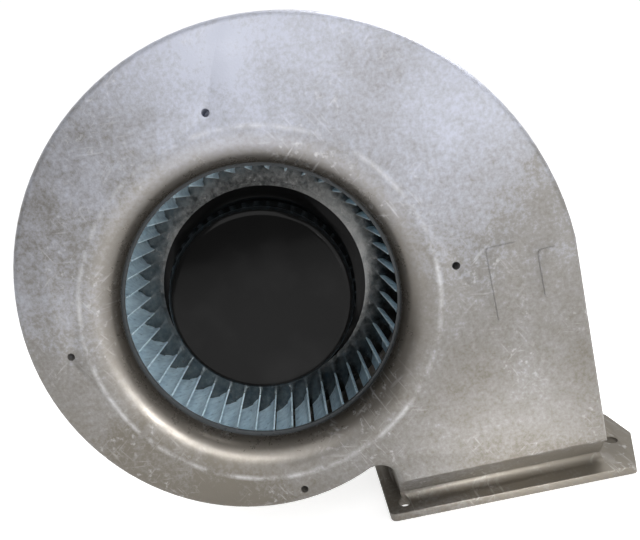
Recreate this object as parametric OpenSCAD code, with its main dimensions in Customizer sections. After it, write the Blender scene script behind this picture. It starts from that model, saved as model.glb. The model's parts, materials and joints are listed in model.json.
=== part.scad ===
// Centrifugal blower with a die-cast scroll housing and an external-rotor DC motor.
// The fan frame has its Z axis on the shaft, pointing out of the inlet, with the inlet
// face at z = 0 and the outlet duct pointing down (-Y). in_place() turns it upright about
// the centre of the inlet face, so that the inlet looks along -Y and the outlet along -Z.

/* [Scroll casting] */
// Outer radius of the scroll where it runs into the straight outlet side
scroll_r = 132.3; // [128:0.1:136]
// Rate at which the scroll tightens, per radian
scroll_rate = 0.0835; // [0.079:0.0005:0.087]
// Depth of the closed housing along the shaft
housing_depth = 62; // [60:0.5:70]
// Wall thickness of the casting
wall = 3; // [2:0.25:3.5]
// Rounding of the rim of the inlet face
rim_r = 3.5; // [2:0.5:4.5]
// Diameter of the four tapped holes' circle on the inlet face
face_pcd = 166; // [162:0.5:168]
// Radius of the tapped holes in the inlet face (M4 core)
face_hole_r = 1.65; // [1.5:0.05:2]
// Depth of the tapped holes in the inlet face
face_hole_depth = 8; // [6:0.5:9]
// Height of the two bare cast pads on the inlet face
pad_height = 0.6; // [0.3:0.1:1]
// Length of the larger cast pad
pad_length = 31; // [24:0.5:34]
// Width of the larger cast pad
pad_width = 12; // [8:0.5:13]

/* [Bell mouth] */
// Radius of the inlet throat
throat_r = 62; // [61.5:0.1:63]
// Depth of the throat's lip below the inlet face
throat_depth = 12; // [10:0.25:13]
// Radius at which the bell mouth leaves the flat face
bell_r = 76; // [73:0.5:77]
// Thickness of the bell mouth
bell_wall = 2.5; // [2:0.25:3]

/* [Outlet] */
// Width of the outlet duct, walls included
duct_width = 90.8; // [84:0.2:94]
// Height of the shoulder line above the flange's upper face
neck_height = 12.7; // [11:0.1:16]
// How far the neck is set back from the inlet face at the flange
neck_setback = 9.5; // [8.5:0.25:11]
// Radius of the fillet between the scroll and the outlet duct
notch_r = 8; // [6:0.5:10]
// Width of the outlet flange
flange_width = 120; // [118:0.5:126]
// Thickness of the outlet flange
flange_t = 3.5; // [3:0.25:6]
// Overhang of the flange past the duct's left side
flange_left = 7.3; // [7:0.1:9]
// Distance from the shaft down to the flange's outer face
outlet_drop = 107.5; // [105:0.5:112]
// Radius of the bolt holes in the flange
flange_hole_r = 2.75; // [2.25:0.25:3]
// Distance of the left bolt holes from the flange's left edge
left_hole_inset = 7.8; // [7:0.1:9]
// Spacing of the two left bolt holes along the shaft
left_hole_pitch = 48.6; // [47:0.2:52]
// Distance of the right bolt holes from the flange's right edge
right_hole_inset = 10.8; // [9:0.1:12]
// Spacing of the two right bolt holes along the shaft
right_hole_pitch = 22.4; // [18:0.2:28]
// Width of the chamfer on the flange's right corners
flange_chamfer_w = 13; // [8:0.5:14]
// Depth of the chamfer on the flange's right corners
flange_chamfer_d = 22; // [12:0.5:23]

/* [Rear cover] */
// Thickness of the rear cover plate
cover_t = 3; // [2.5:0.25:4]
// Radius of the lugs that join casting and cover
lug_r = 5; // [4.5:0.25:6]
// Length of the lug bosses on the casting
lug_length = 18; // [14:1:24]
// Radius of the motor opening in the rear cover
opening_r = 46; // [44:0.5:48]
// Height of the stiffening ribs on the rear cover
rib_height = 2; // [1:0.25:3]
// Number of stiffening ribs
rib_count = 9; // [6:1:12]

/* [Impeller] */
// Number of blades
blade_count = 44; // [36:1:48]
// Radius of the blades' inner edges
blade_in_r = 60.5; // [59.5:0.1:61]
// Radius of the blades' outer edges
blade_out_r = 70.5; // [69:0.1:72]
// Sheet thickness of the blades
blade_t = 0.7; // [0.5:0.05:0.9]
// Angle by which the blade tips lean forward
blade_lead = 8; // [6:0.25:9]
// Length of the blades between ring and disc
blade_span = 37; // [35:0.25:38]
// Thickness of the front ring and the disc
disc_t = 1.2; // [1:0.1:1.5]
// Edge of ring and disc outside the blades
ring_margin = 1; // [0.5:0.1:1.5]
// Axial gap between the throat's lip and the front ring
ring_gap = 1.4; // [1:0.1:2]
// Height of the pressed collar on the disc
collar_height = 1.6; // [1:0.1:2]

/* [Rotor] */
// Outer radius of the rotor cup at its front
cup_r = 43.5; // [43:0.1:44]
// Step of the cup's side down to its wider skirt
cup_step = 1.8; // [1.4:0.1:1.9]
// Wall of the rotor cup
cup_wall = 2; // [1.6:0.1:2.2]
// Depth of the cup's closed end below the inlet face
cup_front = 20; // [17:0.5:22]
// Rounding of the cup's front edge
cup_edge_r = 4.5; // [3:0.5:5]
// Depth from the cup's closed end to the step in its side
cup_step_depth = 11; // [9:0.5:12]
// Radius of the cup's mounting flange
cup_flange_r = 52.5; // [51.5:0.1:53]
// Thickness of the ring magnet
magnet_t = 3.7; // [3:0.1:4]
// Height of the ring magnet
magnet_height = 16; // [14:0.5:17]

/* [Shaft and bearings] */
// Radius of the shaft
shaft_r = 4; // [3.5:0.1:4.5]
// Outer radius of the ball bearings
bearing_r = 11; // [10.5:0.1:12]
// Width of the ball bearings
bearing_w = 7; // [6:0.25:7.5]
// Radius of the bearing balls
ball_r = 1.95; // [1.6:0.05:2]
// Number of balls in a bearing
ball_count = 7; // [6:1:8]
// Wall of the bearing tube
tube_wall = 3; // [2:0.25:4]
// Length of the bush that holds the shaft in the cup
bush_length = 8.5; // [7:0.25:9]
// Length of the spacer between bush and front bearing
spacer_length = 2; // [1.5:0.25:3]
// Distance between the two bearings
bearing_gap = 13.5; // [11:0.25:14]

/* [Stator] */
// Air gap between magnet and stator
air_gap = 0.6; // [0.4:0.05:1]
// Stack height of the stator core
core_height = 14; // [12:0.5:15]
// Number of stator teeth
tooth_count = 12; // [9:3:12]
// Width of the tooth shanks
tooth_w = 5; // [4:0.25:5.5]
// Thickness of the winding on each side of a tooth
coil_t = 2; // [1.5:0.1:2.1]

/* [Motor flange and electronics] */
// Radius of the motor flange
motor_flange_r = 60; // [58:0.5:62]
// Thickness of the motor flange
motor_flange_t = 4; // [3:0.25:5]
// Thickness of the gasket under the motor flange
gasket_t = 1; // [0.5:0.1:1.5]
// Radius of the electronics cover
electronics_r = 48; // [46:0.5:49]
// Height of the electronics cover
electronics_h = 21; // [18:0.5:26]
// Wall of the electronics cover
electronics_wall = 2; // [1.5:0.25:3]
// Radius of the circuit board
board_r = 36; // [33:0.5:36.5]
// Thickness of the circuit board
board_t = 1.6; // [1:0.1:2]
// Height of the posts that carry the circuit board
post_height = 5; // [4:0.5:7]
// Radius of an M4 screw's shank
screw_r = 2; // [1.5:0.05:2.2]
// Radius of an M4 screw's head
head_r = 3.6; // [3:0.1:4]
// Height of an M4 screw's head
head_h = 2.6; // [2:0.1:3]

/* [Hidden] */
$fn = 96;
screw_play = 0.05;        // radial play of a screw in its thread or hole
eps = 0.01;
cut = 1;                  // how far a cutting body runs past the face it opens
boss_wall = 2.5;          // wall of a screw boss round the screw
thread_end = 2;           // depth of a tapped hole past its screw's tip
fine = 144;               // segments of the large turned surfaces

// Axial stations in the fan frame, all at or below the inlet face (z = 0)
cavity_back = -(housing_depth - cover_t);
ring_front = -(throat_depth + ring_gap);
blade_front = ring_front - disc_t;
disc_front = blade_front - blade_span;
disc_back = disc_front - disc_t;
cup_top = -cup_front;
cup_inner_top = cup_top - cup_wall;
cup_step_z = cup_top - cup_step_depth;
bush_end = cup_inner_top - bush_length;
bearing_1_top = bush_end - spacer_length;
bearing_1_end = bearing_1_top - bearing_w;
bearing_2_top = bearing_1_end - bearing_gap;
bearing_2_end = bearing_2_top - bearing_w;
magnet_top = cup_step_z - cup_wall;
magnet_mid = magnet_top - magnet_height / 2;
core_top = magnet_mid + core_height / 2;
core_end = core_top - core_height;
gasket_top = -housing_depth;
motor_flange_top = gasket_top - gasket_t;
motor_flange_back = motor_flange_top - motor_flange_t;
board_top = motor_flange_back - post_height;
board_back = board_top - board_t;
electronics_back = motor_flange_back - electronics_h;
motor_boss_top = cavity_back + 3;

// Radii
ring_r = blade_out_r + ring_margin;
ring_in_r = blade_in_r + 0.4;
skirt_r = cup_r + cup_step;
magnet_r = skirt_r - cup_wall;
magnet_in_r = magnet_r - magnet_t;
core_r = magnet_in_r - air_gap;
tube_r = bearing_r + tube_wall;
race_w = 2.1;             // radial thickness of the bearing races
ball_circle_r = (shaft_r + bearing_r) / 2;
collar_r = cup_flange_r + 2;
motor_screw_circle = (opening_r + motor_flange_r) / 2 + 1.5;
cover_screw_circle = electronics_r - screw_r - boss_wall - 1.5;

// Motor details
tab_r = (blade_in_r + blade_out_r) / 2 - 0.8;
tab_half = 1.6;           // half the radial width of a blade's tab
slot_play = 0.4;          // play of a tab in its slot, each side
tab_out = 0.8;            // how far the tabs stand out of the disc's back
yoke_t = 6;
tooth_tip = 2.5;
tooth_gap = 2;            // opening between neighbouring tooth tips
insulator_t = 1.2;
bush_r = 9;
washer_t = 1.6;
clip_t = 0.8;
clip_rim = 2.2;
groove_depth = 0.6;
shaft_tail = 2;           // length of the shaft past the clip
bearing_lip = 1.5;        // shoulder that stops a bearing in the tube
ball_play = 0.05;

// Electronics details
lead_circle_r = 30;
lead_r = 0.6;
lead_hole_r = 2;
lead_play = 0.1;
post_r = 3.2;
post_inset = 5;           // from the board's edge to a post's middle
board_screw_r = 1.5;
board_head_r = 2.6;
board_head_h = 1.8;
board_hole_r = 8;         // clearance hole round the shaft's end
capacitor_r = 4;
capacitor_h = 10;
chip_l = 7;
chip_w = 6;
chip_h = 2;
processor_w = 10;
processor_h = 1.4;
cover_edge_r = 4;         // rounding of the electronics cover's closed end
boss_relief = 0.2;        // the cover's bosses stop short, so that its rim is what clamps

// Connector in the side of the electronics cover
header_w = 18;
header_h = 9;
header_out = 5;           // how far it stands out of the cover
header_wall = 1.5;
header_foot = 6;          // length of the foot that stands on the board
header_play = 0.2;
socket_depth = 9;
header_back = board_back - header_h;
header_x = -electronics_r - header_out;
pin_x = header_foot - board_r - 2;
pin_pitch = 3.5;
pin_r = 0.5;
pin_back = 3;             // distance of the pins' tips from the socket's mouth

// Outlet in the fan frame
duct_right = scroll_r;
duct_left = duct_right - duct_width;
flange_top = flange_t - outlet_drop;
shoulder_y = flange_top + neck_height;
flange_x0 = duct_left - flange_left;
flange_x1 = flange_x0 + flange_width;
mid_z = -housing_depth / 2;

neck_fillet = 3;
neck_step = 0.5;          // shortest straight run between the notch's fillet and the shoulder
flange_corner_r = 2.5;
pad_1_x = duct_left + 60;
pad_2_x = pad_1_x + 17.8;
pad_y = -11.5;
pad_2_scale = 0.65;       // size of the smaller pad against the larger one
face_boss_wall = 2.6;     // wall of the cavity bosses round the tapped holes
rib_w = 3;
rib_margin = 5;           // from a rib's end to the nearest outline

// Scroll: a logarithmic spiral that runs anticlockwise from the straight side to the tongue
degree = PI / 180;
function spiral(a) = scroll_r * exp(-scroll_rate * a * degree);
function polar(r, a) = [r * cos(a), r * sin(a)];
notch_x = duct_left - notch_r;
notch_reach = spiral(289) + notch_r;
notch_y = -sqrt(notch_reach * notch_reach - notch_x * notch_x);
notch_a = 360 + atan2(notch_y, notch_x);
spiral_steps = 84;
notch_steps = 10;

// Outline of the housing, moved inwards by d all the way round
function outline(d) = concat(
    [for (i = [0:spiral_steps]) polar(spiral(i * notch_a / spiral_steps) - d, i * notch_a / spiral_steps)],
    [for (i = [1:notch_steps]) [notch_x, notch_y]
        + polar(notch_r + d, (notch_a - 180) * (1 - i / notch_steps))],
    [[duct_left + d, min(notch_y - neck_step, shoulder_y + d)], [duct_right - d, shoulder_y + d]]);

// Points of a convex polygon with its corners rounded to radius r
function unit(v) = v / norm(v);
function corner_arc(a, b, c, r, n) =
    let (u = unit(a - b), v = unit(c - b), w = unit(u + v), half = acos(u * v) / 2)
    let (m = b + w * r / sin(half), middle = atan2(-w[1], -w[0]), sweep = 180 - 2 * half)
    [for (i = [0:n]) m + polar(r, middle + sweep * (i / n - 0.5))];
function rounded(p, r, n = 6) = let (k = len(p))
    [for (i = [0:k - 1]) each corner_arc(p[(i + k - 1) % k], p[i], p[(i + 1) % k], r, n)];

// Lug positions: around the scroll and down its straight side
lug_offset = lug_r - 1.5;
lug_angles = [15, 60, 105, 150, 195, 240, 284];
lug_points = concat(
    [for (a = lug_angles) polar(spiral(a) + lug_offset, a)],
    [for (y = [-35, shoulder_y + 12]) [duct_right + lug_offset, y]]);

module in_place() {
    rotate([90, 0, 0]) children();
}

module tube(r_out, r_in, z_top, z_end) {
    translate([0, 0, z_end]) difference() {
        cylinder(h = z_top - z_end, r = r_out);
        translate([0, 0, -eps]) cylinder(h = z_top - z_end + 2 * eps, r = r_in);
    }
}

module rod(r, z_top, z_end) {
    translate([0, 0, z_end]) cylinder(h = z_top - z_end, r = r);
}

// A pan-head screw pointing towards +Z, its head's seat at z = 0
module screw(length, r = screw_r, hr = head_r, hh = head_h) {
    difference() {
        union() {
            cylinder(h = length, r = r);
            translate([0, 0, -hh]) cylinder(h = hh, r1 = hr * 0.86, r2 = hr);
        }
        for (a = [0, 90]) rotate([0, 0, a])
            translate([-hr * 0.6, -hr * 0.12, -hh - eps]) cube([hr * 1.2, hr * 0.24, hh * 0.5]);
    }
}

// ---- Housing ----

// Closed skin of the casting: the outline with its front rim rounded, as swept rings.
// Both ends are fans about a point that sees the whole outline.
fan_middle = [duct_left + 9, -40];
module casting_skin(z_end) {
    rings = concat(
        [for (i = [0:4]) [rim_r * (1 - sin(i * 22.5)), -rim_r * (1 - cos(i * 22.5))]],
        [[0, z_end]]);
    n = len(outline(0));
    last = (len(rings) - 1) * n;
    middle = len(rings) * n;
    points = concat(
        [for (ring = rings) each [for (p = outline(ring[0])) [p[0], p[1], ring[1]]]],
        [for (z = [0, z_end]) [fan_middle[0], fan_middle[1], z]]);
    sides = [for (k = [0:len(rings) - 2]) each [for (i = [0:n - 1])
        each [[k * n + i, k * n + (i + 1) % n, (k + 1) * n + (i + 1) % n],
              [k * n + i, (k + 1) * n + (i + 1) % n, (k + 1) * n + i]]]];
    front = [for (i = [0:n - 1]) [middle, (i + 1) % n, i]];
    back = [for (i = [0:n - 1]) [middle + 1, last + i, last + (i + 1) % n]];
    polyhedron(points = points, faces = concat(front, sides, back), convexity = 6);
}

// Side profile in (y, z), given for its front half and mirrored about the housing's middle
module both_halves(half) {
    n = len(half);
    polygon(concat(half, [for (i = [n - 1:-1:0]) [half[i][0], 2 * mid_z - half[i][1]]]));
}

// The neck narrows from the shoulder down to the flange, with a fillet at its foot
module neck_outside() {
    both_halves(concat(
        [[shoulder_y + 2 * wall, -rim_r], [shoulder_y, -rim_r]],
        [for (i = [0:4]) [flange_top + neck_fillet * (1 - sin(i * 22.5)),
                          -neck_setback + neck_fillet * (1 - cos(i * 22.5))]],
        [[flange_top - flange_t / 2, neck_fillet - neck_setback]]));
}

module neck_inside() {
    both_halves([[shoulder_y + 3 * wall, -wall], [shoulder_y + 2 * wall, -wall],
                 [flange_top + neck_fillet, -neck_setback - wall],
                 [-outlet_drop - 1, -neck_setback - wall]]);
}

// Turns a (y, z) profile into a block between x0 and x1
module across(x0, x1) {
    translate([x0, 0, 0]) rotate([90, 0, 90]) linear_extrude(height = x1 - x0) children();
}

// Outlet flange, its right corners chamfered round the outer bolts
module flange_plate() {
    corners = [[flange_x0, -housing_depth],
               [flange_x1 - flange_chamfer_w, -housing_depth],
               [flange_x1, -housing_depth + flange_chamfer_d],
               [flange_x1, -flange_chamfer_d],
               [flange_x1 - flange_chamfer_w, 0],
               [flange_x0, 0]];
    translate([0, flange_top, 0]) rotate([90, 0, 0]) linear_extrude(height = flange_t)
        polygon(rounded(corners, flange_corner_r));
}

module flange_holes() {
    holes = [[flange_x0 + left_hole_inset, left_hole_pitch / 2],
             [flange_x0 + left_hole_inset, -left_hole_pitch / 2],
             [flange_x1 - right_hole_inset, right_hole_pitch / 2],
             [flange_x1 - right_hole_inset, -right_hole_pitch / 2]];
    for (h = holes) translate([h[0], flange_top + neck_fillet + cut, mid_z + h[1]])
        rotate([90, 0, 0]) cylinder(h = flange_t + neck_fillet + 2 * cut, r = flange_hole_r);
}

// Bell mouth: a quarter ellipse rolled in from the face down to the throat's lip
module bell() {
    a_r = bell_r - throat_r;
    a_z = throat_depth;
    n = 14;
    seat = 3;
    outer = [for (i = [0:n]) [bell_r - a_r * cos(i * 90 / n), -a_z + a_z * sin(i * 90 / n)]];
    inner = [for (i = [n:-1:0]) [bell_r - (a_r - bell_wall) * cos(i * 90 / n),
                                 -a_z + (a_z - bell_wall) * sin(i * 90 / n)]];
    seat_end = [[bell_r + seat, 0], [bell_r + seat, -bell_wall]];
    rotate_extrude($fn = fine) polygon(concat(outer, seat_end, inner));
}

// Bare raised pad, standing pad_height proud of the inlet face
module pad(w, l, r) {
    translate([0, 0, -cut]) linear_extrude(height = pad_height + cut)
        polygon(rounded([[-w / 2, -l / 2], [w / 2, -l / 2], [w / 2, l / 2], [-w / 2, l / 2]], r));
}

module at_lugs() {
    for (p = lug_points) translate([p[0], p[1], 0]) children();
}

module lug_bosses() {
    at_lugs() translate([0, 0, cavity_back]) {
        cylinder(h = lug_length, r = lug_r);
        translate([0, 0, lug_length]) cylinder(h = lug_r, r1 = lug_r, r2 = 1);
    }
}

module face_holes(r, z_top, depth) {
    for (a = [0:90:270]) rotate([0, 0, a]) translate([face_pcd / 2, 0, z_top - depth])
        cylinder(h = depth, r = r);
}

module casting_body() {
    casting_skin(cavity_back);
    lug_bosses();
    across(duct_left, duct_right) neck_outside();
    flange_plate();
}

module casting_cavity() {
    difference() {
        translate([0, 0, cavity_back - cut]) linear_extrude(height = cut - wall - cavity_back)
            polygon(outline(wall));
        face_holes(face_hole_r + face_boss_wall, 0, face_hole_depth + wall / 2);
    }
    across(duct_left + wall, duct_right - wall) neck_inside();
    rod(bell_r + cut, cut, -wall - cut, $fn = fine);
}

module scroll_housing() color("silver") in_place() difference() {
    union() {
        difference() {
            casting_body();
            casting_cavity();
        }
        bell();
        translate([pad_1_x, pad_y, 0]) pad(pad_width, pad_length, 0.8);
        translate([pad_2_x, pad_y, 0])
            pad(pad_width * pad_2_scale, pad_length * pad_2_scale, 1.8);
    }
    face_holes(face_hole_r, cut, face_hole_depth + cut);
    at_lugs() rod(screw_r + screw_play, cavity_back + lug_length - thread_end, cavity_back - cut);
    flange_holes();
}

module rear_cover() color("lightgray") in_place() difference() {
    union() {
        translate([0, 0, -housing_depth]) linear_extrude(height = cover_t) polygon(outline(0));
        at_lugs() rod(lug_r, cavity_back, -housing_depth);
        for (i = [0:rib_count - 1]) rotate([0, 0, (i + 0.5) * 360 / rib_count])
            translate([motor_flange_r + 2, -rib_w / 2, -housing_depth - rib_height])
                cube([spiral(notch_a) - rib_margin - motor_flange_r, rib_w, rib_height + cut]);
        at_motor_screws() rod(screw_r + boss_wall, motor_boss_top, cavity_back - cut);
    }
    rod(opening_r, motor_boss_top + cut, -housing_depth - cut);
    at_lugs() rod(screw_r + screw_play, cavity_back + cut, -housing_depth - cut);
    at_motor_screws() rod(screw_r + screw_play, motor_boss_top + cut, -housing_depth - cut);
}

module rear_cover_screws() color("gainsboro") in_place()
    at_lugs() translate([0, 0, -housing_depth]) screw(cover_t + lug_length - 2 * thread_end);

// ---- Motor, fixed parts ----

module at_motor_screws() {
    for (a = [45:90:315]) rotate([0, 0, a]) translate([motor_screw_circle, 0, 0]) children();
}

module at_cover_screws() {
    for (a = [0:120:240]) rotate([0, 0, a + 30]) translate([cover_screw_circle, 0, 0]) children();
}

module at_posts() {
    for (a = [20:120:260]) rotate([0, 0, a]) translate([board_r - post_inset, 0, 0]) children();
}

module at_leads() {
    for (a = [0:120:240]) rotate([0, 0, a]) translate([lead_circle_r, 0, 0]) children();
}

module motor_gasket() color("dimgray") in_place() difference() {
    tube(motor_flange_r, opening_r, gasket_top, motor_flange_top);
    at_motor_screws() rod(screw_r + screw_play, gasket_top + cut, motor_flange_top - cut);
}

module motor_flange() color("darkgray") in_place() difference() {
    union() {
        rod(motor_flange_r, motor_flange_top, motor_flange_back);
        rod(tube_r, bearing_1_top, motor_flange_top - cut);
        at_posts() rod(post_r, motor_flange_back + cut, board_top);
    }
    rod(bearing_r, bearing_1_top + cut, bearing_1_end);
    rod(bearing_r - bearing_lip, bearing_1_top, motor_flange_back - cut);
    rod(bearing_r, bearing_2_top, motor_flange_back - cut);
    at_motor_screws() rod(screw_r + screw_play, motor_flange_top + cut, motor_flange_back - cut);
    at_cover_screws() rod(screw_r + screw_play, motor_flange_top + cut, motor_flange_back - cut);
    at_leads() rod(lead_hole_r, motor_flange_top + cut, motor_flange_back - cut);
    at_posts() rod(board_screw_r + screw_play, board_top + post_height, board_top - cut);
}

module motor_flange_screws() color("gainsboro") in_place()
    at_motor_screws() translate([0, 0, motor_flange_back])
        screw(motor_boss_top - motor_flange_back - screw_play * 10);

module stator_core() color("slategray") in_place() {
    difference() {
        union() {
            tube(tube_r + yoke_t, tube_r, core_top, core_end);
            tube(core_r, core_r - tooth_tip, core_top, core_end);
            teeth(tooth_w, tube_r + yoke_t - cut, core_r - tooth_tip / 2, core_top, core_end);
        }
        for (i = [0:tooth_count - 1]) rotate([0, 0, (i + 0.5) * 360 / tooth_count])
            translate([core_r - tooth_tip - cut, -tooth_gap / 2, core_end - cut])
                cube([tooth_tip + 2 * cut, tooth_gap, core_height + 2 * cut]);
    }
}

// Radial bars, one on each tooth
module teeth(w, r0, r1, z_top, z_end) {
    for (i = [0:tooth_count - 1]) rotate([0, 0, i * 360 / tooth_count])
        translate([r0, -w / 2, z_end]) cube([r1 - r0, w, z_top - z_end]);
}

module stator_insulators() color("ivory") in_place()
    for (z = [core_top + insulator_t, core_end]) {
        tube(tube_r + yoke_t, tube_r, z, z - insulator_t);
        teeth(tooth_w, tube_r + yoke_t - cut, core_r - tooth_tip, z, z - insulator_t);
    }

module stator_coils() color("peru") in_place() difference() {
    coil_r0 = tube_r + yoke_t + 0.5;
    coil_r1 = core_r - tooth_tip - 0.4;
    coil_end = insulator_t + coil_t;
    teeth(tooth_w + 2 * coil_t, coil_r0, coil_r1, core_top + coil_end, core_end - coil_end);
    teeth(tooth_w, coil_r0 - cut, coil_r1 + cut, core_top + insulator_t, core_end - insulator_t);
}

module winding_leads() color("firebrick") in_place()
    at_leads() rod(lead_r, core_end - insulator_t - coil_t, board_back - lead_r);

// ---- Bearings ----

module race(r_out, r_in, z_top) {
    difference() {
        tube(r_out, r_in, z_top, z_top - bearing_w);
        translate([0, 0, z_top - bearing_w / 2]) rotate_extrude()
            translate([ball_circle_r, 0]) circle(r = ball_r + ball_play, $fn = 32);
    }
}

module bearing_outer_rings() color("lightsteelblue") in_place()
    for (z = [bearing_1_top, bearing_2_top]) race(bearing_r, bearing_r - race_w, z);

module bearing_inner_rings() color("lightsteelblue") in_place()
    for (z = [bearing_1_top, bearing_2_top]) race(shaft_r + race_w, shaft_r, z);

module bearing_balls() color("white") in_place()
    for (z = [bearing_1_top, bearing_2_top], i = [0:ball_count - 1])
        rotate([0, 0, i * 360 / ball_count]) translate([ball_circle_r, 0, z - bearing_w / 2])
            sphere(r = ball_r, $fn = 32);

// ---- Electronics ----

module circuit_board() color("darkgreen") in_place() difference() {
    rod(board_r, board_top, board_back);
    rod(board_hole_r, board_top + cut, board_back - cut);
    at_leads() rod(lead_r + lead_play, board_top + cut, board_back - cut);
    at_posts() rod(board_screw_r + screw_play, board_top + cut, board_back - cut);
}

module board_screws() color("gainsboro") in_place()
    at_posts() translate([0, 0, board_back])
        screw(board_t + post_height - 1, board_screw_r, board_head_r, board_head_h);

module filter_capacitors() color("midnightblue") in_place()
    for (a = [84, 108]) rotate([0, 0, a]) translate([22, 0, 0])
        rod(capacitor_r, board_back, board_back - capacitor_h);

module controller_chips() color("black") in_place() {
    for (a = [210:30:330]) rotate([0, 0, a])
        translate([20, -chip_w / 2, board_back - chip_h]) cube([chip_l, chip_w, chip_h]);
    rotate([0, 0, 15]) translate([15, -processor_w / 2, board_back - processor_h])
        cube([processor_w, processor_w, processor_h]);
}

module at_pins() {
    for (i = [-1.5:1.5]) translate([0, i * pin_pitch, header_back + header_h / 2])
        rotate([0, -90, 0]) children();
}

module connector_header() color("#202020") in_place() difference() {
    union() {
        translate([header_x, -header_w / 2, header_back])
            cube([-board_r - 0.5 - header_x, header_w, motor_flange_back - 0.3 - header_back]);
        translate([-board_r - cut, -header_w / 2, header_back])
            cube([header_foot + cut, header_w, header_h]);
    }
    translate([header_x - cut, header_wall - header_w / 2, header_back + header_wall])
        cube([socket_depth + cut, header_w - 2 * header_wall, header_h - 2 * header_wall]);
    at_pins() cylinder(h = -header_x, r = pin_r, $fn = 24);
}

module connector_pins() color("gold") in_place() at_pins()
    translate([0, 0, -pin_x]) cylinder(h = pin_x - header_x - pin_back, r = pin_r, $fn = 24);

module electronics_cover() color("#2a2a2c") in_place() difference() {
    union() {
        difference() {
            rotate_extrude($fn = fine) polygon(cover_profile(electronics_r, motor_flange_back,
                                                             electronics_back, cover_edge_r));
            rotate_extrude($fn = fine) polygon(cover_profile(electronics_r - electronics_wall,
                motor_flange_back + cut, electronics_back + electronics_wall,
                cover_edge_r - electronics_wall));
        }
        at_cover_screws()
            rod(screw_r + boss_wall, motor_flange_back - boss_relief,
                electronics_back + electronics_wall / 2);
    }
    at_cover_screws() rod(screw_r + screw_play, motor_flange_back + cut, electronics_back - cut);
    translate([header_x, -header_w / 2 - header_play, header_back - header_play])
        cube([header_foot * 2, header_w + 2 * header_play, motor_flange_back - header_back + cut]);
}

// Half section of a round lid with its closed end rounded
function cover_profile(r, z_top, z_end, edge) = concat(
    [[0, z_top], [0, z_end]],
    [for (i = [0:6]) [r - edge, z_end + edge] + polar(edge, i * 15 - 90)],
    [[r, z_top]]);

module electronics_cover_screws() color("gainsboro") in_place()
    at_cover_screws() translate([0, 0, electronics_back])
        screw(electronics_h + motor_flange_t - cut);

// ---- Rotor and impeller ----

module rotor_cup() color("#151517") in_place() rotate_extrude($fn = fine) polygon(concat(
    [[0, cup_inner_top], [0, cup_top]],
    [for (i = [0:6]) [cup_r - cup_edge_r, cup_top - cup_edge_r] + polar(cup_edge_r, 90 - i * 15)],
    [[cup_r, cup_step_z + 1], [skirt_r, cup_step_z - 1]],
    [for (i = [0:4]) [skirt_r + cup_wall, disc_front + 2 * cup_wall] + polar(cup_wall, 180 + i * 22.5)],
    [[cup_flange_r, disc_front + cup_wall], [cup_flange_r, disc_front], [magnet_r, disc_front],
     [magnet_r, magnet_top], [cup_r - cup_wall, magnet_top]],
    [for (i = [6:-1:0]) [cup_r - cup_edge_r, cup_top - cup_edge_r]
        + polar(cup_edge_r - cup_wall, 90 - i * 15)]));

module magnet_ring() color("dimgray") in_place()
    tube(magnet_r, magnet_in_r, magnet_top, magnet_top - magnet_height);

module rotor_bush() color("goldenrod") in_place() tube(bush_r, shaft_r, cup_inner_top, bush_end);

clip_top = bearing_2_end - washer_t;

module shaft() color("lightgray") in_place() difference() {
    rod(shaft_r, cup_inner_top, clip_top - clip_t - shaft_tail);
    tube(shaft_r + cut, shaft_r - groove_depth, clip_top, clip_top - clip_t);
}

module bearing_spacer() color("goldenrod") in_place()
    tube(shaft_r + race_w, shaft_r, bush_end, bearing_1_top);

module preload_washer() color("steelblue") in_place()
    tube(shaft_r + race_w, shaft_r, bearing_2_end, clip_top);

// Open clip in the shaft's groove
module shaft_clip() color("dimgray") in_place() difference() {
    tube(shaft_r + clip_rim, shaft_r - groove_depth, clip_top, clip_top - clip_t);
    translate([0, -shaft_r / 2, clip_top - clip_t - cut])
        cube([shaft_r + clip_rim + cut, shaft_r, clip_t + 2 * cut]);
}

// Camber of a blade: how far it has swept forward, in degrees, at radius r
blade_chord = blade_out_r - blade_in_r;
function sweep(r) = -blade_lead * pow((r - blade_in_r) / blade_chord, 2);
function blade_slope(r) = 2 * r * degree * blade_lead * (r - blade_in_r) / pow(blade_chord, 2);
function half_angle(r, t) = t / 2 * sqrt(1 + pow(blade_slope(r), 2)) / r / degree;
function blade_section(r0, r1, t, n = 5) = concat(
    [for (i = [0:n]) let (r = r0 + (r1 - r0) * i / n) polar(r, sweep(r) - half_angle(r, t))],
    [for (i = [n:-1:0]) let (r = r0 + (r1 - r0) * i / n) polar(r, sweep(r) + half_angle(r, t))]);

module blade_slots(t, z_top, z_end) {
    translate([0, 0, z_end]) linear_extrude(height = z_top - z_end)
        polygon(blade_section(tab_r - tab_half, tab_r + tab_half, t, 1));
}

module around_blades() {
    for (i = [0:blade_count - 1]) rotate([0, 0, i * 360 / blade_count]) children();
}

module impeller_front_ring() color("lightsteelblue") in_place()
    tube(ring_r, ring_in_r, ring_front, blade_front);

module impeller_disc() color("lightsteelblue") in_place() difference() {
    union() {
        tube(ring_r, magnet_r, disc_front, disc_back);
        tube(collar_r, cup_flange_r, disc_front + collar_height, disc_front - disc_t / 2);
    }
    around_blades() blade_slots(blade_t + 2 * slot_play, disc_front + cut, disc_back - cut);
}

module impeller_blades() color("slategray") in_place() around_blades() {
    translate([0, 0, disc_front]) linear_extrude(height = blade_span)
        polygon(blade_section(blade_in_r, blade_out_r, blade_t));
    blade_slots(blade_t, disc_front + tab_out, disc_back - tab_out);
}

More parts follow.
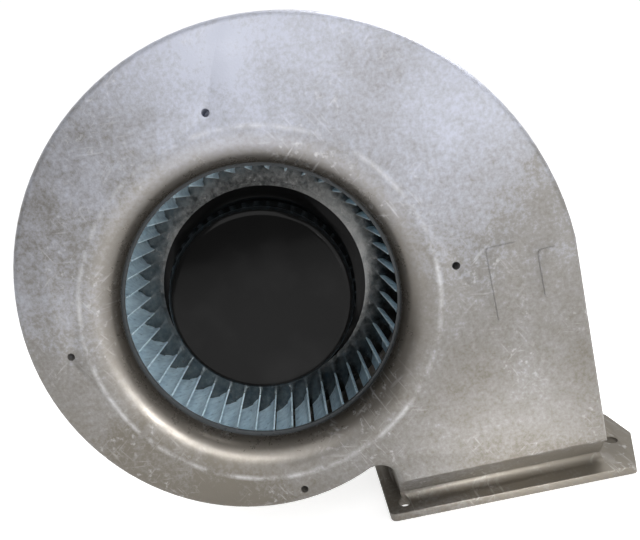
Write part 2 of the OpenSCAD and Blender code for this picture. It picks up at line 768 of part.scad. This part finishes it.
scroll_housing();
rear_cover();
rear_cover_screws();
motor_gasket();
motor_flange();
motor_flange_screws();
stator_core();
stator_insulators();
stator_coils();
winding_leads();
bearing_outer_rings();
bearing_balls();
circuit_board();
board_screws();
filter_capacitors();
controller_chips();
connector_header();
connector_pins();
electronics_cover();
electronics_cover_screws();
bearing_inner_rings();
rotor_cup();
magnet_ring();
rotor_bush();
shaft();
bearing_spacer();
preload_washer();
shaft_clip();
impeller_disc();
impeller_blades();
impeller_front_ring();
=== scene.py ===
"""Dresses a die-cast centrifugal blower: finishes, visual pieces, light and camera."""

import json
import logging
import math
from dataclasses import dataclass
from enum import Enum

import bpy
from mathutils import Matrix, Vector

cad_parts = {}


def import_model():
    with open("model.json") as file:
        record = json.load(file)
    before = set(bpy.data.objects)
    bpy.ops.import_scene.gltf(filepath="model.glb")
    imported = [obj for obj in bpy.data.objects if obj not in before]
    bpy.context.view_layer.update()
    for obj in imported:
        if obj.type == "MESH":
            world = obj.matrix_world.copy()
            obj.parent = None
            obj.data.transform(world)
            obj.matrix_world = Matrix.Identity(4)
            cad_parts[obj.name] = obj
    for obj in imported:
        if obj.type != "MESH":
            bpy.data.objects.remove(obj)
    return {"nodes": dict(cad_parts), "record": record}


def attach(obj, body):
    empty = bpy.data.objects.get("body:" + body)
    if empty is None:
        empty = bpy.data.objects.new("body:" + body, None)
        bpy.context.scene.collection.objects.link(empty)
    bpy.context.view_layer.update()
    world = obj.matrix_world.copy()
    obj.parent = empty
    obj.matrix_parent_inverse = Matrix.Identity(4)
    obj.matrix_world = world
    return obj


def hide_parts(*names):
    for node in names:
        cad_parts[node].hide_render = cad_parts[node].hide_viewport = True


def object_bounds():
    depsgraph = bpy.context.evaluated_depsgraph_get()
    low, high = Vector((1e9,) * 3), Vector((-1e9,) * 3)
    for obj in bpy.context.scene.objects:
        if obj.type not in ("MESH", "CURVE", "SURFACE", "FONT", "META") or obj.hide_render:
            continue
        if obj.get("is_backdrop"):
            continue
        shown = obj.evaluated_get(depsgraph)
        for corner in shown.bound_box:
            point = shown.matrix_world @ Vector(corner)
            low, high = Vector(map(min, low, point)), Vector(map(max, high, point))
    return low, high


LOG = logging.getLogger("blower")
MM = 0.001
JOIN_DISTANCE = 0.002 * MM
FLAT_ANGLE = math.radians(0.4)
SENSOR_WIDTH = 36.0
NEAREST_SEEN = 5.0 * MM
WHITE = (1.0, 1.0, 1.0, 1.0)


class Body(Enum):
    """The two rigid bodies of the blower."""

    HOUSING = "housing"
    IMPELLER = "impeller"


class Grain(Enum):
    """How a pattern is stretched: scale along X, Y and Z per metre."""

    EVEN = (1.0, 1.0, 1.0)
    LAYERED = (0.02, 40.0, 0.02)


@dataclass(frozen=True)
class Tone:
    """A colour in linear light."""

    red: float
    green: float
    blue: float

    def rgba(self) -> tuple[float, float, float, float]:
        """The colour with full opacity."""
        return (self.red, self.green, self.blue, 1.0)


class Tree:
    """A material's node tree with short calls for the nodes used here."""

    def __init__(self, name: str) -> None:
        """Makes the material and keeps its Principled shader.

        Args:
            name: name of the material.
        """
        self.material = bpy.data.materials.new(name)
        self.material.use_nodes = True
        self.nodes = self.material.node_tree.nodes
        self.links = self.material.node_tree.links
        self.shader = self.nodes["Principled BSDF"]
        self.place = self.nodes.new("ShaderNodeTexCoord").outputs["Object"]

    def set(self, **values: float) -> None:
        """Sets constants on the shader; underscores stand for spaces.

        Args:
            **values: socket names and their values.
        """
        for name, value in values.items():
            self.shader.inputs[name.replace("_", " ")].default_value = value

    def noise(self, scale: float, detail: float = 4.0, grain: Grain = Grain.EVEN,
              turn: tuple[float, float, float] = (0.0, 0.0, 0.0), rough: float = 0.55):
        """A noise pattern.

        Args:
            scale: features per metre.
            detail: octaves of finer noise.
            grain: stretch of the pattern.
            turn: rotation of the pattern in radians.
            rough: weight of the finer octaves.

        Returns:
            The pattern's value output.
        """
        mapping = self.nodes.new("ShaderNodeMapping")
        mapping.inputs["Scale"].default_value = grain.value
        mapping.inputs["Rotation"].default_value = turn
        self.links.new(self.place, mapping.inputs["Vector"])
        node = self.nodes.new("ShaderNodeTexNoise")
        node.inputs["Scale"].default_value = scale
        node.inputs["Detail"].default_value = detail
        node.inputs["Roughness"].default_value = rough
        self.links.new(mapping.outputs["Vector"], node.inputs["Vector"])
        return node.outputs["Fac"]

    def scratches(self, turn: float, density: float, low: float, high: float):
        """Fine straight scratches that lie in the XZ plane.

        Args:
            turn: direction of the scratches in radians about Y.
            density: scratches per metre across their run.
            low: pattern value where a scratch starts to show.
            high: pattern value where it shows in full.

        Returns:
            A mask from 0 to 1.
        """
        rotate = self.nodes.new("ShaderNodeMapping")
        rotate.inputs["Rotation"].default_value = (0.0, turn, 0.0)
        self.links.new(self.place, rotate.inputs["Vector"])
        stretch = self.nodes.new("ShaderNodeMapping")
        stretch.inputs["Scale"].default_value = (density, 30.0, density * 0.09)
        self.links.new(rotate.outputs["Vector"], stretch.inputs["Vector"])
        node = self.nodes.new("ShaderNodeTexNoise")
        node.inputs["Scale"].default_value = 1.0
        node.inputs["Detail"].default_value = 2.0
        self.links.new(stretch.outputs["Vector"], node.inputs["Vector"])
        return self.remap(node.outputs["Fac"], low, high, 0.0, 1.0)

    def remap(self, value, low: float, high: float, out_low: float, out_high: float):
        """Maps a value from one range to another and clamps it.

        Args:
            value: the output to map.
            low: value mapped to out_low.
            high: value mapped to out_high.
            out_low: result at low.
            out_high: result at high.

        Returns:
            The mapped output.
        """
        node = self.nodes.new("ShaderNodeMapRange")
        for name, number in zip(("From Min", "From Max", "To Min", "To Max"),
                                (low, high, out_low, out_high)):
            node.inputs[name].default_value = number
        self.links.new(value, node.inputs["Value"])
        return node.outputs["Result"]

    def math(self, kind: str, first, second=None):
        """A math node on outputs or numbers.

        Args:
            kind: the operation's name.
            first: output or number.
            second: output or number, or None.

        Returns:
            The result's output.
        """
        node = self.nodes.new("ShaderNodeMath")
        node.operation = kind
        for socket, value in zip(node.inputs, (first, second)):
            if value is None:
                continue
            if isinstance(value, (int, float)):
                socket.default_value = value
            else:
                self.links.new(value, socket)
        return node.outputs["Value"]

    def mix(self, factor, first, second):
        """Mixes two colours.

        Args:
            factor: output or number, 0 for first and 1 for second.
            first: Tone or colour output.
            second: Tone or colour output.

        Returns:
            The mixed colour's output.
        """
        node = self.nodes.new("ShaderNodeMix")
        node.data_type = "RGBA"
        if isinstance(factor, (int, float)):
            node.inputs[0].default_value = factor
        else:
            self.links.new(factor, node.inputs[0])
        for index, colour in ((6, first), (7, second)):
            if isinstance(colour, Tone):
                node.inputs[index].default_value = colour.rgba()
            else:
                self.links.new(colour, node.inputs[index])
        return node.outputs[2]

    def axis(self, name: str):
        """One coordinate of the object's place, in metres.

        Args:
            name: X, Y or Z.

        Returns:
            The coordinate's output.
        """
        node = self.nodes.new("ShaderNodeSeparateXYZ")
        self.links.new(self.place, node.inputs["Vector"])
        return node.outputs[name]

    def radius(self):
        """Distance from the shaft's axis, in metres.

        Returns:
            The distance's output.
        """
        square_x = self.math("POWER", self.axis("X"), 2.0)
        square_z = self.math("POWER", self.axis("Z"), 2.0)
        return self.math("SQRT", self.math("ADD", square_x, square_z))

    def band(self, value, middle: float, half: float):
        """A mask that is 1 at the middle of a band and 0 outside it.

        Args:
            value: the output that is compared.
            middle: the band's middle.
            half: half of the band's width.

        Returns:
            The mask's output.
        """
        away = self.math("ABSOLUTE", self.math("SUBTRACT", value, middle))
        return self.remap(away, 0.0, half, 1.0, 0.0)

    def bump(self, height, depth: float, strength: float = 1.0) -> None:
        """Raises the surface by a pattern.

        Args:
            height: the pattern's output.
            depth: height of the relief in metres.
            strength: share of the relief that shows.
        """
        node = self.nodes.new("ShaderNodeBump")
        node.inputs["Distance"].default_value = depth
        node.inputs["Strength"].default_value = strength
        self.links.new(height, node.inputs["Height"])
        self.links.new(node.outputs["Normal"], self.shader.inputs["Normal"])

    def colour(self, output) -> None:
        """Drives the base colour.

        Args:
            output: colour output.
        """
        self.links.new(output, self.shader.inputs["Base Color"])

    def roughness(self, output) -> None:
        """Drives the roughness.

        Args:
            output: value output.
        """
        self.links.new(output, self.shader.inputs["Roughness"])


@dataclass(frozen=True)
class CastAluminium:
    """Bare die casting with oxide blotches and handling scuffs, with painted light: paler and
    bluer towards the top, browner and darker towards the foot and a little darker to the left,
    painted shade round the inlet's throat, and painted highlights on the bell's outer edge and
    the pads' rims.
    """

    name: str = "cast_aluminium"
    # The three tones below are reached both by random oxide tone and by painted light: light at
    # the lit top, brown at the shaded foot.
    light: Tone = Tone(0.50, 0.52, 0.60)
    grey: Tone = Tone(0.27, 0.262, 0.256)
    brown: Tone = Tone(0.15, 0.135, 0.112)
    bell: Tone = Tone(0.235, 0.215, 0.188)
    # Dark tone of the painted shade round the inlet's throat.
    painted_throat_shade: Tone = Tone(0.085, 0.076, 0.064)
    # Pale tone for scratches and flecks, and for the painted highlights on the bell's outer edge
    # and the pads' rims.
    bright: Tone = Tone(0.78, 0.78, 0.80)
    bell_edge: float = 75.6 * MM
    throat: float = 64.0 * MM
    pad_edge: float = -0.32 * MM

    def patina_and_painted_light(self, tree: Tree, mottle):
        """The colour: random oxide blotches, with painted light over them: paler and bluer
        towards the top, browner and darker towards the foot, a little darker to the left.

        Args:
            tree: the material's tree.
            mottle: the middle-sized pattern.

        Returns:
            The colour's output.
        """
        cloud = tree.remap(tree.noise(14.0, 5.0, turn=(0.3, 0.2, 0.9)), 0.25, 0.75, -0.20, 0.20)
        # Painted light from above: the colour runs paler and bluer towards the top, browner and
        # darker towards the foot.
        height = tree.remap(tree.axis("Z"), -0.11, 0.12, 0.12, 0.88)
        # Painted shade: a little darker towards the left.
        side = tree.remap(tree.axis("X"), -0.11, 0.12, -0.08, 0.03)
        tone = tree.math("ADD", tree.math("ADD", cloud, height), side)
        tone = tree.math("ADD", tone, tree.remap(mottle, 0.3, 0.7, -0.09, 0.09))
        tone = tree.math("ADD", tone, tree.remap(tree.noise(520.0, 3.0, rough=0.7),
                                                 0.3, 0.7, -0.08, 0.08))
        base = tree.mix(tree.remap(tone, 0.18, 0.50, 0.0, 1.0), self.brown, self.grey)
        return tree.mix(tree.remap(tone, 0.46, 0.84, 0.0, 1.0), base, self.light)

    def build(self) -> bpy.types.Material:
        """Makes the material.

        Returns:
            The material.
        """
        tree = Tree(self.name)
        tree.set(Metallic=0.62)
        mottle = tree.noise(130.0, 6.0, rough=0.7)
        radius = tree.radius()
        inlet = tree.remap(radius, self.throat, self.bell_edge, 1.0, 0.0)
        # Painted shade: a dark ring round the throat, standing in for the dark impeller that the
        # bell reflects.
        throat_shade_mask = tree.remap(radius, self.throat - 2.0 * MM, self.throat + 5.0 * MM, 1.0, 0.0)
        base = tree.mix(tree.math("MULTIPLY", inlet, 0.8), self.patina_and_painted_light(tree, mottle), self.bell)
        base = tree.mix(throat_shade_mask, base, self.painted_throat_shade)
        where = tree.remap(tree.noise(26.0, 3.0, turn=(0.0, 0.8, 0.0)), 0.47, 0.60, 0.0, 1.0)
        flecks = tree.remap(tree.noise(330.0, 3.0, rough=0.6), 0.58, 0.72, 0.0, 0.75)
        wear_and_highlight = tree.math("MAXIMUM", tree.scratches(0.5, 760.0, 0.62, 0.72),
                          tree.scratches(-0.9, 690.0, 0.63, 0.73))
        wear_and_highlight = tree.math("MAXIMUM", wear_and_highlight, tree.scratches(1.45, 640.0, 0.63, 0.73))
        wear_and_highlight = tree.math("MAXIMUM", tree.math("MULTIPLY", wear_and_highlight, 0.5), flecks)
        wear_and_highlight = tree.math("MULTIPLY", wear_and_highlight, where)
        # Painted highlight on the bell's outer edge, broken by noise like scuffs.
        rim = tree.math("MULTIPLY", tree.band(radius, self.bell_edge, 0.0016),
                        tree.remap(tree.noise(75.0, 6.0, rough=0.75), 0.42, 0.62, 0.0, 0.45))
        # Painted highlight on the pads' rims.
        pad_rim_highlight = tree.band(tree.axis("Y"), self.pad_edge, 0.28 * MM)
        rim = tree.math("MAXIMUM", rim, tree.math("MULTIPLY", pad_rim_highlight, 0.75))
        # From here the mask holds the scratches and flecks and also the painted highlights.
        wear_and_highlight = tree.math("MAXIMUM", tree.math("MULTIPLY", wear_and_highlight, 0.5), rim)
        tree.colour(tree.mix(wear_and_highlight, base, self.bright))
        rough = tree.remap(mottle, 0.25, 0.75, 0.40, 0.60)
        rough = tree.math("SUBTRACT", rough, tree.math("MULTIPLY", inlet, 0.21))
        tree.roughness(tree.math("SUBTRACT", rough, tree.math("MULTIPLY", wear_and_highlight, 0.10)))
        grain = tree.math("ADD", tree.noise(900.0, 3.0), tree.math("MULTIPLY", mottle, 1.5))
        grain = tree.math("MULTIPLY", grain, tree.remap(inlet, 0.0, 1.0, 1.0, 0.4))
        tree.bump(tree.math("SUBTRACT", grain, wear_and_highlight), 0.00010, 0.6)
        return tree.material


@dataclass(frozen=True)
class GalvanisedSheet:
    """Blue-grey zinc-coated sheet with a soft spangle; the impeller's front ring is painted dark
    as painted shade under the throat's lip.
    """

    name: str = "galvanised_steel"
    # These tones are paler and bluer than bare zinc: painted light and a painted bluish
    # reflection on the blades.
    dark: Tone = Tone(0.45, 0.60, 0.70)
    pale: Tone = Tone(0.72, 0.89, 0.98)
    metallic: float = 0.15
    smooth: float = 0.26
    rough: float = 0.44
    # Dark tone of the painted shade on the impeller's front ring.
    painted_ring_shade: Tone = Tone(0.060, 0.066, 0.070)
    ring_back: float = 14.6 * MM

    def build(self) -> bpy.types.Material:
        """Makes the material.

        Returns:
            The material.
        """
        tree = Tree(self.name)
        tree.set(Metallic=self.metallic)
        spangle = tree.noise(420.0, 3.0)
        streak = tree.noise(120.0, 4.0)
        tone = tree.math("ADD", tree.math("MULTIPLY", spangle, 0.5),
                         tree.math("MULTIPLY", streak, 0.5))
        sheet = tree.mix(tree.remap(tone, 0.38, 0.60, 0.0, 1.0), self.dark, self.pale)
        # Painted shade: everything in front of ring_back, the impeller's front ring, takes the
        # dark tone, standing in for the shadow of the throat's lip.
        ring = tree.remap(tree.axis("Y"), self.ring_back - 0.1 * MM, self.ring_back + 0.3 * MM,
                          1.0, 0.0)
        tree.colour(tree.mix(ring, sheet, self.painted_ring_shade))
        tree.roughness(tree.remap(spangle, 0.3, 0.7, self.smooth, self.rough))
        tree.bump(spangle, 0.00003, 0.5)
        return tree.material


@dataclass(frozen=True)
class GlossEnamel:
    """Deep black stoving enamel with faint dust and hairline scuffs."""

    name: str = "black_enamel"
    black: Tone = Tone(0.004, 0.004, 0.004)
    dust: Tone = Tone(0.008, 0.008, 0.008)

    def build(self) -> bpy.types.Material:
        """Makes the material.

        Returns:
            The material.
        """
        tree = Tree(self.name)
        tree.set(Metallic=0.0, Specular_IOR_Level=0.12)
        haze = tree.noise(35.0, 5.0)
        tree.colour(tree.mix(tree.remap(haze, 0.50, 0.72, 0.0, 1.0), self.black, self.dust))
        tree.roughness(tree.remap(haze, 0.35, 0.70, 0.12, 0.22))
        tree.bump(tree.noise(240.0, 2.0), 0.00003, 0.35)
        return tree.material


@dataclass(frozen=True)
class Worked:
    """A plain metal or plastic with a two-tone grain of its own."""

    name: str
    dark: Tone
    pale: Tone
    metallic: float
    smooth: float
    rough: float
    scale: float = 180.0
    grain: Grain = Grain.EVEN
    relief: float = 0.00004

    def build(self) -> bpy.types.Material:
        """Makes the material.

        Returns:
            The material.
        """
        tree = Tree(self.name)
        tree.set(Metallic=self.metallic)
        pattern = tree.noise(self.scale, 4.0, self.grain)
        broad = tree.noise(self.scale * 0.15, 3.0)
        tone = tree.math("ADD", tree.math("MULTIPLY", pattern, 0.6),
                         tree.math("MULTIPLY", broad, 0.4))
        tree.colour(tree.mix(tree.remap(tone, 0.38, 0.62, 0.0, 1.0), self.dark, self.pale))
        tree.roughness(tree.remap(broad, 0.3, 0.7, self.smooth, self.rough))
        tree.bump(pattern, self.relief, 0.6)
        return tree.material


FINISHES = (
    CastAluminium(),
    GalvanisedSheet(),
    # Its tones are far darker than bright zinc: painted shade on the impeller's disc and collar.
    GalvanisedSheet("bright_galvanised", Tone(0.13, 0.135, 0.135), Tone(0.25, 0.25, 0.245),
                    1.0, 0.16, 0.28),
    GlossEnamel(),
    Worked("zinc_steel", Tone(0.42, 0.43, 0.44), Tone(0.66, 0.66, 0.64), 1.0, 0.24, 0.42),
    Worked("motor_aluminium", Tone(0.34, 0.34, 0.34), Tone(0.55, 0.55, 0.56), 0.85, 0.34, 0.52),
    Worked("black_rubber", Tone(0.012, 0.012, 0.012), Tone(0.03, 0.03, 0.03), 0.0, 0.6, 0.85),
    Worked("lamination_steel", Tone(0.10, 0.10, 0.11), Tone(0.30, 0.30, 0.32), 1.0, 0.3, 0.5,
           50.0, Grain.LAYERED, 0.0002),
    Worked("ivory_plastic", Tone(0.66, 0.60, 0.46), Tone(0.76, 0.71, 0.58), 0.0, 0.4, 0.6),
    Worked("enamelled_copper", Tone(0.36, 0.11, 0.035), Tone(0.62, 0.25, 0.10), 0.9, 0.18, 0.34,
           60.0, Grain.LAYERED, 0.0002),
    Worked("red_insulation", Tone(0.30, 0.02, 0.015), Tone(0.42, 0.04, 0.03), 0.0, 0.35, 0.5),
    Worked("bearing_steel", Tone(0.48, 0.49, 0.50), Tone(0.70, 0.71, 0.72), 1.0, 0.12, 0.25),
    Worked("green_laminate", Tone(0.008, 0.07, 0.03), Tone(0.02, 0.13, 0.06), 0.0, 0.25, 0.4),
    Worked("capacitor_sleeve", Tone(0.01, 0.014, 0.06), Tone(0.02, 0.03, 0.10), 0.0, 0.2, 0.35),
    Worked("black_epoxy", Tone(0.01, 0.01, 0.01), Tone(0.025, 0.025, 0.025), 0.0, 0.5, 0.7),
    Worked("black_plastic", Tone(0.012, 0.012, 0.013), Tone(0.035, 0.035, 0.037), 0.0, 0.4, 0.6,
           500.0, Grain.EVEN, 0.00008),
    Worked("tinned_brass", Tone(0.50, 0.44, 0.28), Tone(0.72, 0.68, 0.52), 1.0, 0.2, 0.35),
    Worked("ferrite", Tone(0.03, 0.03, 0.035), Tone(0.08, 0.08, 0.085), 0.3, 0.45, 0.65),
    Worked("brass", Tone(0.45, 0.30, 0.09), Tone(0.70, 0.52, 0.22), 1.0, 0.2, 0.38),
    Worked("ground_steel", Tone(0.50, 0.50, 0.51), Tone(0.70, 0.70, 0.71), 1.0, 0.14, 0.3),
    Worked("spring_steel", Tone(0.03, 0.03, 0.035), Tone(0.10, 0.10, 0.11), 0.9, 0.3, 0.5),
)


class Finishes:
    """All finishes, made once and handed out by the record's slot names."""

    def __init__(self) -> None:
        """Builds every finish."""
        self.materials = {finish.name: finish.build() for finish in FINISHES}

    def dress(self, piece: bpy.types.Object, slot: str) -> None:
        """Gives a piece one finish all over.

        Args:
            piece: the mesh object.
            slot: the record's material slot.
        """
        if not piece.material_slots:
            piece.data.materials.append(None)
        for material_slot in piece.material_slots:
            material_slot.material = self.materials[slot]


def deselect() -> None:
    """Deselects every object."""
    bpy.ops.object.select_all(action="DESELECT")


def activate(piece: bpy.types.Object) -> None:
    """Makes one object the only selected and the active one.

    Args:
        piece: the object.
    """
    deselect()
    piece.select_set(True)
    bpy.context.view_layer.objects.active = piece


def apply_modifiers(piece: bpy.types.Object) -> None:
    """Applies all modifiers of a piece.

    Args:
        piece: the mesh object.
    """
    activate(piece)
    for modifier in list(piece.modifiers):
        bpy.ops.object.modifier_apply(modifier=modifier.name)


def merged_copy(node: bpy.types.Object, name: str) -> bpy.types.Object:
    """Copies a CAD node's mesh and joins its loose triangles.

    Args:
        node: the CAD node.
        name: the new piece's name.

    Returns:
        The new piece, with every material slot emptied.
    """
    piece = bpy.data.objects.new(name, node.data.copy())
    bpy.context.scene.collection.objects.link(piece)
    activate(piece)
    if piece.data.has_custom_normals:
        bpy.ops.mesh.customdata_custom_splitnormals_clear()
    piece.data.materials.clear()
    bpy.ops.object.mode_set(mode="EDIT")
    bpy.ops.mesh.select_all(action="SELECT")
    bpy.ops.mesh.remove_doubles(threshold=JOIN_DISTANCE)
    bpy.ops.mesh.dissolve_limited(angle_limit=FLAT_ANGLE)
    bpy.ops.object.mode_set(mode="OBJECT")
    return piece


def soften(piece: bpy.types.Object, width: float, segments: int = 2, limit: float = 38.0) -> None:
    """Rounds the sharp edges of a piece.

    Args:
        piece: the mesh object.
        width: width of the rounding in metres.
        segments: facets across the rounding.
        limit: angle in degrees from which an edge counts as sharp.
    """
    bevel = piece.modifiers.new("edges", "BEVEL")
    bevel.width = width
    bevel.segments = segments
    bevel.limit_method = "ANGLE"
    bevel.angle_limit = math.radians(limit)
    bevel.use_clamp_overlap = True
    apply_modifiers(piece)


def smooth(piece: bpy.types.Object, angle: float = 32.0) -> None:
    """Shades a piece smooth except across sharp edges.

    Args:
        piece: the mesh object.
        angle: angle in degrees above which an edge stays sharp.
    """
    activate(piece)
    bpy.ops.object.shade_smooth_by_angle(angle=math.radians(angle))


@dataclass
class Casting:
    """The scroll housing and its rear cover."""

    edge: float = 0.6 * MM
    cover_edge: float = 0.4 * MM

    def build(self, nodes: dict[str, bpy.types.Object], finishes: Finishes) -> None:
        """Makes the casting's visual pieces.

        Args:
            nodes: the CAD nodes by name.
            finishes: the finishes.
        """
        for node, width in (("scroll_housing", self.edge), ("rear_cover", self.cover_edge)):
            piece = merged_copy(nodes[node], node + "_cast")
            soften(piece, width)
            smooth(piece)
            finishes.dress(piece, "cast_aluminium")
            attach(piece, Body.HOUSING.value)
            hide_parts(node)
            LOG.info("%s: %d faces", piece.name, len(piece.data.polygons))


@dataclass
class Rotor:
    """The drum impeller and the motor's rotating cup."""

    blade_edge: float = 0.12 * MM

    def build(self, nodes: dict[str, bpy.types.Object], finishes: Finishes) -> None:
        """Makes the rotor's visual pieces.

        Args:
            nodes: the CAD nodes by name.
            finishes: the finishes.
        """
        self.piece(nodes, finishes, "rotor_cup", "black_enamel", 50.0)
        self.piece(nodes, finishes, "impeller_blades", "galvanised_steel", 40.0)

    def piece(self, nodes: dict[str, bpy.types.Object], finishes: Finishes, node: str,
              slot: str, angle: float) -> None:
        """Makes a smooth stand-in for one CAD node.

        Args:
            nodes: the CAD nodes by name.
            finishes: the finishes.
            node: the CAD node's name.
            slot: the record's material slot.
            angle: angle in degrees above which an edge stays sharp.
        """
        piece = merged_copy(nodes[node], node + "_formed")
        smooth(piece, angle)
        finishes.dress(piece, slot)
        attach(piece, Body.IMPELLER.value)
        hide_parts(node)
        LOG.info("%s: %d faces", piece.name, len(piece.data.polygons))


@dataclass
class Studio:
    """Floor, light and camera."""

    floor_gap: float = 0.4 * MM
    floor_size: float = 6.0
    camera_place: tuple[float, float, float] = (0.0243063, -0.1905415, 0.0478286)
    camera_turn: tuple[float, float, float] = (1.4179272, 0.2469981, 0.0309929)
    lens: float = 26.5267
    shift: tuple[float, float] = (0.07365, -0.01248)
    front_light: float = 0.11
    back_light: float = 1.05
    floor_glow: float = 0.68
    spot_blend: float = 0.8
    spot_size: float = 0.03

    def floor(self, lowest: float) -> None:
        """Lays the floor just under the part.

        Args:
            lowest: height of the part's lowest point.
        """
        deselect()
        bpy.ops.mesh.primitive_plane_add(size=self.floor_size,
                                         location=(0.0, 0.0, lowest - self.floor_gap))
        plane = bpy.context.object
        plane.name = "floor"
        tree = Tree("pale_floor")
        tree.set(Roughness=0.9, Metallic=0.0)
        tree.shader.inputs["Base Color"].default_value = (0.80, 0.80, 0.80, 1.0)
        tree.shader.inputs["Emission Color"].default_value = WHITE
        tree.set(Emission_Strength=self.floor_glow)
        plane.data.materials.append(tree.material)
        plane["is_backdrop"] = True

    def world(self) -> None:
        """Surrounds the part with white, whose light is weaker on the inlet's side."""
        world = bpy.data.worlds.new("studio")
        world.use_nodes = True
        tree = world.node_tree
        background = tree.nodes["Background"]
        background.inputs["Color"].default_value = WHITE
        place = tree.nodes.new("ShaderNodeTexCoord")
        split = tree.nodes.new("ShaderNodeSeparateXYZ")
        level = tree.nodes.new("ShaderNodeMapRange")
        level.interpolation_type = "SMOOTHSTEP"
        for name, number in zip(("From Min", "From Max", "To Min", "To Max"),
                                (-0.35, 0.45, self.front_light, self.back_light)):
            level.inputs[name].default_value = number
        tree.links.new(place.outputs["Generated"], split.inputs["Vector"])
        tree.links.new(split.outputs["Y"], level.inputs["Value"])
        seen = tree.nodes.new("ShaderNodeLightPath").outputs["Is Camera Ray"]
        shown = tree.nodes.new("ShaderNodeMath")
        shown.operation = "MAXIMUM"
        tree.links.new(level.outputs["Result"], shown.inputs[0])
        tree.links.new(seen, shown.inputs[1])
        tree.links.new(shown.outputs["Value"], background.inputs["Strength"])
        bpy.context.scene.world = world

    @staticmethod
    def hang(data: bpy.types.Light, place: tuple[float, float, float],
             aim: tuple[float, float, float]) -> None:
        """Stands a light somewhere and turns it to a point.

        Args:
            data: the light.
            place: where it stands.
            aim: the point it faces.
        """
        lamp = bpy.data.objects.new(data.name, data)
        lamp.location = place
        lamp.rotation_euler = (Vector(aim) - Vector(place)).to_track_quat("-Z", "Y").to_euler()
        bpy.context.scene.collection.objects.link(lamp)

    def lamp(self, name: str, place: tuple[float, float, float], size: float, power: float,
             aim: tuple[float, float, float] = (0.0, 0.0, 0.0)) -> None:
        """Adds a square soft light.

        Args:
            name: the lamp's name.
            place: where it stands.
            size: its side in metres.
            power: its power in watts.
            aim: the point it faces.
        """
        data = bpy.data.lights.new(name, "AREA")
        data.size = size
        data.energy = power
        self.hang(data, place, aim)

    def spot(self, name: str, place: tuple[float, float, float],
             aim: tuple[float, float, float], cone: float, power: float) -> None:
        """Adds a soft-edged spotlight.

        Args:
            name: the lamp's name.
            place: where it stands.
            aim: the point it faces.
            cone: full angle of its cone in degrees.
            power: its power in watts.
        """
        data = bpy.data.lights.new(name, "SPOT")
        data.energy = power
        data.spot_size = math.radians(cone)
        data.spot_blend = self.spot_blend
        data.shadow_soft_size = self.spot_size
        self.hang(data, place, aim)

    def camera(self) -> None:
        """Stands the camera in front of the inlet, a little above and to the right."""
        data = bpy.data.cameras.new("camera")
        data.sensor_width = SENSOR_WIDTH
        data.lens = self.lens
        data.shift_x, data.shift_y = self.shift
        data.clip_start = NEAREST_SEEN
        camera = bpy.data.objects.new("camera", data)
        camera.location = self.camera_place
        camera.rotation_euler = self.camera_turn
        bpy.context.scene.collection.objects.link(camera)
        bpy.context.scene.camera = camera

    def build(self, lowest: float) -> None:
        """Makes the whole studio.

        Args:
            lowest: height of the part's lowest point.
        """
        self.camera()
        self.floor(lowest)
        self.world()
        self.lamp("key", (0.0, -0.60, 0.48), 0.60, 2.2)
        self.lamp("side", (0.50, -0.50, 0.16), 0.50, 1.3, (0.08, 0.0, 0.0))
        self.spot("bell", (0.16, -0.31, 0.06), (-0.038, 0.01, -0.032), 20.0, 3.2)
        self.spot("blades", (0.035, -0.22, 0.10), (-0.012, 0.035, -0.044), 14.0, 2.6)
        self.spot("outlet", (0.12, -0.36, -0.085), (0.098, 0.0, -0.104), 17.0, 9.0)
        self.lamp("rim", (0.35, 0.10, 0.45), 0.30, 2.0)
        bpy.context.scene.view_settings.view_transform = "Standard"


def dress_nodes(frame: dict, finishes: Finishes) -> None:
    """Gives every CAD node the finish of its slot.

    Args:
        frame: the loaded frame.
        finishes: the finishes.
    """
    for part in frame["record"]["subparts"]:
        finishes.dress(frame["nodes"][part["node"]], part["material_slot"])


def main() -> None:
    """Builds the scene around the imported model."""
    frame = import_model()
    cad_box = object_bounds()
    finishes = Finishes()
    dress_nodes(frame, finishes)
    Casting().build(frame["nodes"], finishes)
    Rotor().build(frame["nodes"], finishes)
    Studio().build(cad_box[0][2])


if __name__ == "__main__":
    logging.basicConfig(level=logging.INFO, format="%(message)s")
    main()
